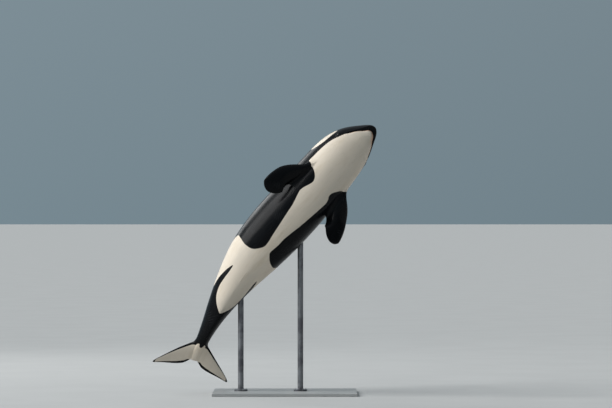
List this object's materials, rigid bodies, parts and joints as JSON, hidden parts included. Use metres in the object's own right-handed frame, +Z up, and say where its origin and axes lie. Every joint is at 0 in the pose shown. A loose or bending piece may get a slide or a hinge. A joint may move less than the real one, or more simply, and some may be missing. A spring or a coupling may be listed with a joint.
{
  "type": "life-size model of a leaping orca",
  "caption": "Life-size model of an adult orca in mid leap, head up and belly turned outwards, carried by upright rods on a flat base.",
  "frame": {"origin": "middle of the underside of the base, on the floor", "axes": "+X along the base towards the raised head, +Y from the belly towards the back, +Z up"},
  "size_m": [4.3756, 2.2065, 5.2405],
  "materials": {
    "black_skin": "wet gloss",
    "white_skin": "wet satin",
    "eye": "polished",
    "stand_board": "satin paint",
    "stand_steel": "satin"
  },
  "bodies": {
    "root": {"head": "black_skin", "lower_jaw": "white_skin", "chest": "white_skin", "abdomen": "black_skin", "tail_stock": "white_skin", "flipper_left": "black_skin", "flipper_right": "black_skin", "dorsal_fin": "black_skin", "fluke_left": "white_skin", "fluke_right": "white_skin", "eye_left": "eye", "eye_right": "eye", "stand_base": "stand_board", "stand_rod_front": "stand_steel", "stand_rod_rear": "stand_steel"}
  },
  "joints": []
}
